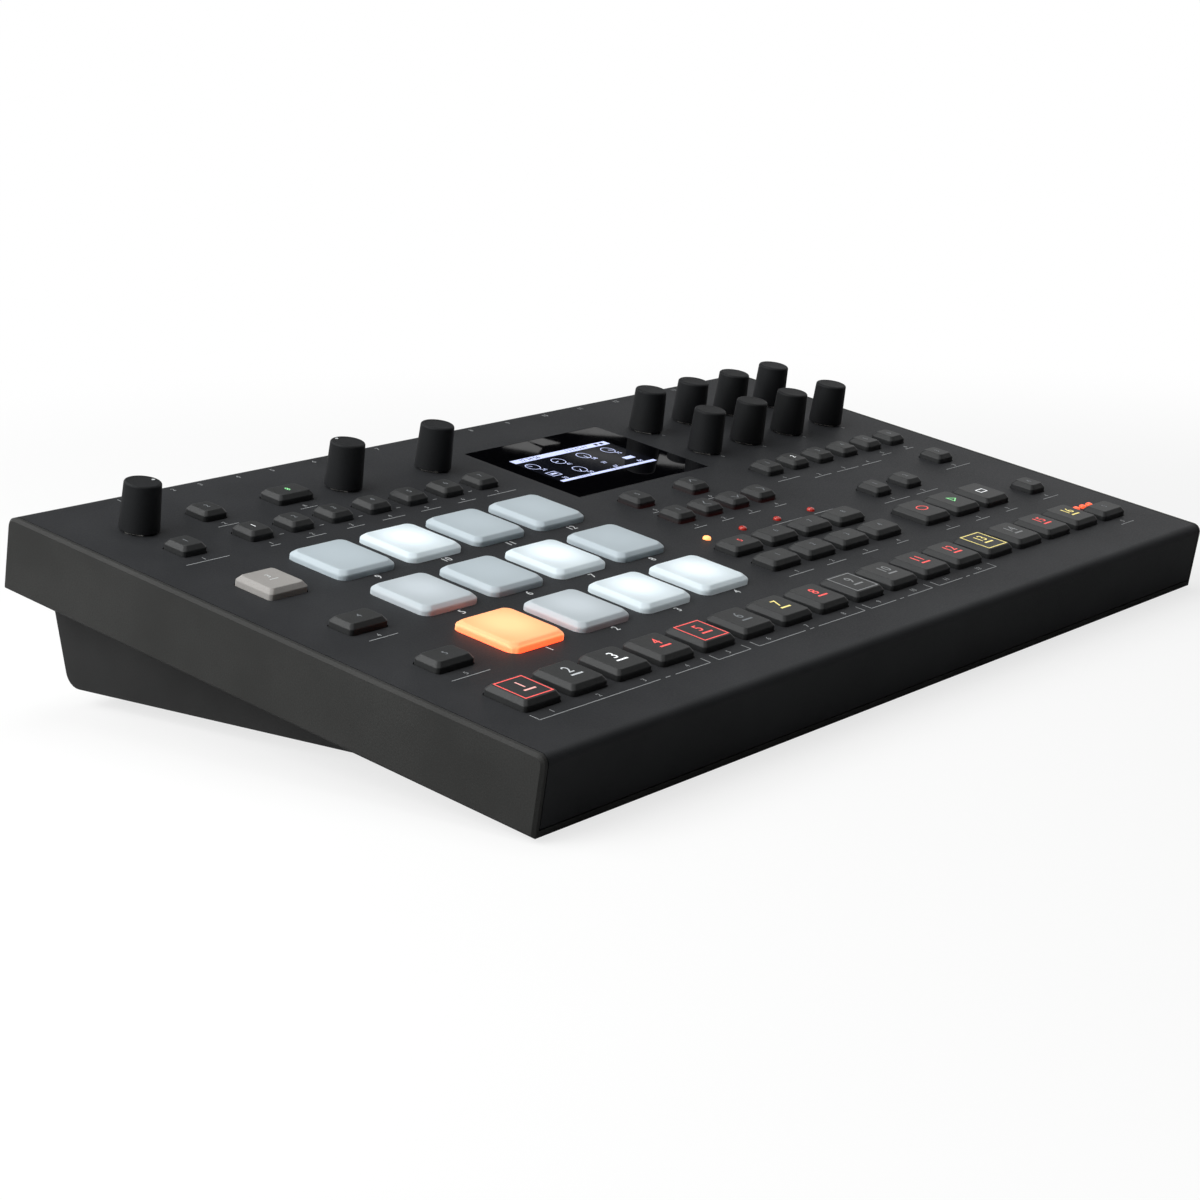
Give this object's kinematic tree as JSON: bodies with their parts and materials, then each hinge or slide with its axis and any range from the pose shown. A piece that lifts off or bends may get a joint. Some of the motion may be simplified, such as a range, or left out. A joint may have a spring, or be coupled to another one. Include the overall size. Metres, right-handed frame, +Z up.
{
  "type": "drum machine",
  "caption": "Table-top drum machine: a tilted slab with square pads, step keys, function keys, encoder knobs and a display, on a wedge-shaped pan with rear sockets.",
  "frame": {"origin": "the middle of the rectangle that the machine covers, at the level of the table under its feet", "axes": "+X to the player's right, along the longest side; +Y away from the player; +Z up"},
  "size_m": [0.385, 0.2182, 0.0761],
  "materials": {
    "powder_coat": "matte fine-textured black powder coat",
    "foot_rubber": "matte black rubber",
    "black_screw": "black zinc",
    "window_acrylic": "polished black acrylic",
    "display_plastic": "moulded",
    "light_lens": "tinted lens",
    "board": "green solder mask",
    "switch_plastic": "moulded",
    "encoder_metal": "nickel plated",
    "socket_plastic": "moulded black",
    "button_plastic": "moulded black",
    "knob_plastic": "soft-touch coating",
    "pad_silicone": "translucent matte silicone",
    "key_plastic": "moulded, fine texture"
  },
  "bodies": {
    "case": {"top_panel": "powder_coat", "base_tray": "powder_coat", "wedge_pan": "powder_coat", "rubber_feet": "foot_rubber", "case_screws": "black_screw", "display_window": "window_acrylic", "display_module": "display_plastic", "status_lights": "light_lens", "control_board": "board", "key_switches": "switch_plastic", "rotary_encoders": "encoder_metal", "socket_board": "board", "rear_sockets": "socket_plastic"},
    "main_volume_knob": {"main_volume_knob": "knob_plastic"},
    "level_knob": {"level_knob": "knob_plastic"},
    "data_knob": {"data_knob": "knob_plastic"},
    "encoder_knob_1": {"encoder_knob_1": "knob_plastic"},
    "encoder_knob_2": {"encoder_knob_2": "knob_plastic"},
    "encoder_knob_3": {"encoder_knob_3": "knob_plastic"},
    "encoder_knob_4": {"encoder_knob_4": "knob_plastic"},
    "encoder_knob_5": {"encoder_knob_5": "knob_plastic"},
    "encoder_knob_6": {"encoder_knob_6": "knob_plastic"},
    "encoder_knob_7": {"encoder_knob_7": "knob_plastic"},
    "encoder_knob_8": {"encoder_knob_8": "knob_plastic"},
    "pad_1": {"pad_1": "pad_silicone"},
    "pad_2": {"pad_2": "pad_silicone"},
    "pad_3": {"pad_3": "pad_silicone"},
    "pad_4": {"pad_4": "pad_silicone"},
    "pad_5": {"pad_5": "pad_silicone"},
    "pad_6": {"pad_6": "pad_silicone"},
    "pad_7": {"pad_7": "pad_silicone"},
    "pad_8": {"pad_8": "pad_silicone"},
    "pad_9": {"pad_9": "pad_silicone"},
    "pad_10": {"pad_10": "pad_silicone"},
    "pad_11": {"pad_11": "pad_silicone"},
    "pad_12": {"pad_12": "pad_silicone"},
    "step_key_1": {"step_key_1": "key_plastic"},
    "step_key_2": {"step_key_2": "key_plastic"},
    "step_key_3": {"step_key_3": "key_plastic"},
    "step_key_4": {"step_key_4": "key_plastic"},
    "step_key_5": {"step_key_5": "key_plastic"},
    "step_key_6": {"step_key_6": "key_plastic"},
    "step_key_7": {"step_key_7": "key_plastic"},
    "step_key_8": {"step_key_8": "key_plastic"},
    "step_key_9": {"step_key_9": "key_plastic"},
    "step_key_10": {"step_key_10": "key_plastic"},
    "step_key_11": {"step_key_11": "key_plastic"},
    "step_key_12": {"step_key_12": "key_plastic"},
    "step_key_13": {"step_key_13": "key_plastic"},
    "step_key_14": {"step_key_14": "key_plastic"},
    "step_key_15": {"step_key_15": "key_plastic"},
    "step_key_16": {"step_key_16": "key_plastic"},
    "mode_keys": {"mode_keys": "key_plastic"},
    "function_keys": {"function_keys": "key_plastic"},
    "cursor_keys": {"cursor_keys": "key_plastic"},
    "page_keys": {"page_keys": "key_plastic"},
    "bank_keys": {"bank_keys": "key_plastic"},
    "side_keys": {"side_keys": "key_plastic"},
    "transport_keys": {"transport_keys": "key_plastic"},
    "power_button": {"power_button": "button_plastic"}
  },
  "joints": [
    {"name": "main_volume_turn", "type": "hinge", "parent": "case", "child": "main_volume_knob", "pos_m": [-0.1653, 0.07394, 0.06721], "axis": [0, -0.184, 0.9829], "range_deg": [-150, 150]},
    {"name": "level_turn", "type": "hinge", "parent": "case", "child": "level_knob", "pos_m": [-0.0745, 0.07394, 0.06721], "axis": [0, -0.184, 0.9829], "range_deg": [-150, 150]},
    {"name": "data_turn", "type": "hinge", "parent": "case", "child": "data_knob", "pos_m": [-0.0297, 0.07394, 0.06721], "axis": [0, -0.184, 0.9829], "continuous": true},
    {"name": "encoder_1_turn", "type": "hinge", "parent": "case", "child": "encoder_knob_1", "pos_m": [0.0843, 0.06784, 0.06606], "axis": [0, -0.184, 0.9829], "continuous": true},
    {"name": "encoder_2_turn", "type": "hinge", "parent": "case", "child": "encoder_knob_2", "pos_m": [0.1113, 0.06784, 0.06606], "axis": [0, -0.184, 0.9829], "continuous": true},
    {"name": "encoder_3_turn", "type": "hinge", "parent": "case", "child": "encoder_knob_3", "pos_m": [0.1383, 0.06784, 0.06606], "axis": [0, -0.184, 0.9829], "continuous": true},
    {"name": "encoder_4_turn", "type": "hinge", "parent": "case", "child": "encoder_knob_4", "pos_m": [0.1653, 0.06784, 0.06606], "axis": [0, -0.184, 0.9829], "continuous": true},
    {"name": "encoder_5_turn", "type": "hinge", "parent": "case", "child": "encoder_knob_5", "pos_m": [0.0843, 0.04013, 0.06088], "axis": [0, -0.184, 0.9829], "continuous": true},
    {"name": "encoder_6_turn", "type": "hinge", "parent": "case", "child": "encoder_knob_6", "pos_m": [0.1113, 0.04013, 0.06088], "axis": [0, -0.184, 0.9829], "continuous": true},
    {"name": "encoder_7_turn", "type": "hinge", "parent": "case", "child": "encoder_knob_7", "pos_m": [0.1383, 0.04013, 0.06088], "axis": [0, -0.184, 0.9829], "continuous": true},
    {"name": "encoder_8_turn", "type": "hinge", "parent": "case", "child": "encoder_knob_8", "pos_m": [0.1653, 0.04013, 0.06088], "axis": [0, -0.184, 0.9829], "continuous": true},
    {"name": "pad_1_press", "type": "slide", "parent": "case", "child": "pad_1", "axis": [0, 0.184, -0.9829], "range_m": [0, 0.0008], "stiffness_N_per_m": 400, "springref_m": -0.001},
    {"name": "pad_2_press", "type": "slide", "parent": "case", "child": "pad_2", "axis": [0, 0.184, -0.9829], "range_m": [0, 0.0008], "stiffness_N_per_m": 400, "springref_m": -0.001},
    {"name": "pad_3_press", "type": "slide", "parent": "case", "child": "pad_3", "axis": [0, 0.184, -0.9829], "range_m": [0, 0.0008], "stiffness_N_per_m": 400, "springref_m": -0.001},
    {"name": "pad_4_press", "type": "slide", "parent": "case", "child": "pad_4", "axis": [0, 0.184, -0.9829], "range_m": [0, 0.0008], "stiffness_N_per_m": 400, "springref_m": -0.001},
    {"name": "pad_5_press", "type": "slide", "parent": "case", "child": "pad_5", "axis": [0, 0.184, -0.9829], "range_m": [0, 0.0008], "stiffness_N_per_m": 400, "springref_m": -0.001},
    {"name": "pad_6_press", "type": "slide", "parent": "case", "child": "pad_6", "axis": [0, 0.184, -0.9829], "range_m": [0, 0.0008], "stiffness_N_per_m": 400, "springref_m": -0.001},
    {"name": "pad_7_press", "type": "slide", "parent": "case", "child": "pad_7", "axis": [0, 0.184, -0.9829], "range_m": [0, 0.0008], "stiffness_N_per_m": 400, "springref_m": -0.001},
    {"name": "pad_8_press", "type": "slide", "parent": "case", "child": "pad_8", "axis": [0, 0.184, -0.9829], "range_m": [0, 0.0008], "stiffness_N_per_m": 400, "springref_m": -0.001},
    {"name": "pad_9_press", "type": "slide", "parent": "case", "child": "pad_9", "axis": [0, 0.184, -0.9829], "range_m": [0, 0.0008], "stiffness_N_per_m": 400, "springref_m": -0.001},
    {"name": "pad_10_press", "type": "slide", "parent": "case", "child": "pad_10", "axis": [0, 0.184, -0.9829], "range_m": [0, 0.0008], "stiffness_N_per_m": 400, "springref_m": -0.001},
    {"name": "pad_11_press", "type": "slide", "parent": "case", "child": "pad_11", "axis": [0, 0.184, -0.9829], "range_m": [0, 0.0008], "stiffness_N_per_m": 400, "springref_m": -0.001},
    {"name": "pad_12_press", "type": "slide", "parent": "case", "child": "pad_12", "axis": [0, 0.184, -0.9829], "range_m": [0, 0.0008], "stiffness_N_per_m": 400, "springref_m": -0.001},
    {"name": "step_key_1_press", "type": "slide", "parent": "case", "child": "step_key_1", "axis": [0, 0.184, -0.9829], "range_m": [0, 0.0008], "stiffness_N_per_m": 400, "springref_m": -0.001},
    {"name": "step_key_2_press", "type": "slide", "parent": "case", "child": "step_key_2", "axis": [0, 0.184, -0.9829], "range_m": [0, 0.0008], "stiffness_N_per_m": 400, "springref_m": -0.001},
    {"name": "step_key_3_press", "type": "slide", "parent": "case", "child": "step_key_3", "axis": [0, 0.184, -0.9829], "range_m": [0, 0.0008], "stiffness_N_per_m": 400, "springref_m": -0.001},
    {"name": "step_key_4_press", "type": "slide", "parent": "case", "child": "step_key_4", "axis": [0, 0.184, -0.9829], "range_m": [0, 0.0008], "stiffness_N_per_m": 400, "springref_m": -0.001},
    {"name": "step_key_5_press", "type": "slide", "parent": "case", "child": "step_key_5", "axis": [0, 0.184, -0.9829], "range_m": [0, 0.0008], "stiffness_N_per_m": 400, "springref_m": -0.001},
    {"name": "step_key_6_press", "type": "slide", "parent": "case", "child": "step_key_6", "axis": [0, 0.184, -0.9829], "range_m": [0, 0.0008], "stiffness_N_per_m": 400, "springref_m": -0.001},
    {"name": "step_key_7_press", "type": "slide", "parent": "case", "child": "step_key_7", "axis": [0, 0.184, -0.9829], "range_m": [0, 0.0008], "stiffness_N_per_m": 400, "springref_m": -0.001},
    {"name": "step_key_8_press", "type": "slide", "parent": "case", "child": "step_key_8", "axis": [0, 0.184, -0.9829], "range_m": [0, 0.0008], "stiffness_N_per_m": 400, "springref_m": -0.001},
    {"name": "step_key_9_press", "type": "slide", "parent": "case", "child": "step_key_9", "axis": [0, 0.184, -0.9829], "range_m": [0, 0.0008], "stiffness_N_per_m": 400, "springref_m": -0.001},
    {"name": "step_key_10_press", "type": "slide", "parent": "case", "child": "step_key_10", "axis": [0, 0.184, -0.9829], "range_m": [0, 0.0008], "stiffness_N_per_m": 400, "springref_m": -0.001},
    {"name": "step_key_11_press", "type": "slide", "parent": "case", "child": "step_key_11", "axis": [0, 0.184, -0.9829], "range_m": [0, 0.0008], "stiffness_N_per_m": 400, "springref_m": -0.001},
    {"name": "step_key_12_press", "type": "slide", "parent": "case", "child": "step_key_12", "axis": [0, 0.184, -0.9829], "range_m": [0, 0.0008], "stiffness_N_per_m": 400, "springref_m": -0.001},
    {"name": "step_key_13_press", "type": "slide", "parent": "case", "child": "step_key_13", "axis": [0, 0.184, -0.9829], "range_m": [0, 0.0008], "stiffness_N_per_m": 400, "springref_m": -0.001},
    {"name": "step_key_14_press", "type": "slide", "parent": "case", "child": "step_key_14", "axis": [0, 0.184, -0.9829], "range_m": [0, 0.0008], "stiffness_N_per_m": 400, "springref_m": -0.001},
    {"name": "step_key_15_press", "type": "slide", "parent": "case", "child": "step_key_15", "axis": [0, 0.184, -0.9829], "range_m": [0, 0.0008], "stiffness_N_per_m": 400, "springref_m": -0.001},
    {"name": "step_key_16_press", "type": "slide", "parent": "case", "child": "step_key_16", "axis": [0, 0.184, -0.9829], "range_m": [0, 0.0008], "stiffness_N_per_m": 400, "springref_m": -0.001},
    {"name": "mode_keys_press", "type": "slide", "parent": "case", "child": "mode_keys", "axis": [0, 0.184, -0.9829], "range_m": [0, 0.0008], "stiffness_N_per_m": 400, "springref_m": -0.001},
    {"name": "function_keys_press", "type": "slide", "parent": "case", "child": "function_keys", "axis": [0, 0.184, -0.9829], "range_m": [0, 0.0008], "stiffness_N_per_m": 400, "springref_m": -0.001},
    {"name": "cursor_keys_press", "type": "slide", "parent": "case", "child": "cursor_keys", "axis": [0, 0.184, -0.9829], "range_m": [0, 0.0008], "stiffness_N_per_m": 400, "springref_m": -0.001},
    {"name": "page_keys_press", "type": "slide", "parent": "case", "child": "page_keys", "axis": [0, 0.184, -0.9829], "range_m": [0, 0.0008], "stiffness_N_per_m": 400, "springref_m": -0.001},
    {"name": "bank_keys_press", "type": "slide", "parent": "case", "child": "bank_keys", "axis": [0, 0.184, -0.9829], "range_m": [0, 0.0008], "stiffness_N_per_m": 400, "springref_m": -0.001},
    {"name": "side_keys_press", "type": "slide", "parent": "case", "child": "side_keys", "axis": [0, 0.184, -0.9829], "range_m": [0, 0.0008], "stiffness_N_per_m": 400, "springref_m": -0.001},
    {"name": "transport_keys_press", "type": "slide", "parent": "case", "child": "transport_keys", "axis": [0, 0.184, -0.9829], "range_m": [0, 0.0008], "stiffness_N_per_m": 400, "springref_m": -0.001},
    {"name": "power_press", "type": "slide", "parent": "case", "child": "power_button", "axis": [0, -1, 0], "range_m": [0, 0.002], "stiffness_N_per_m": 400, "springref_m": -0.001}
  ]
}
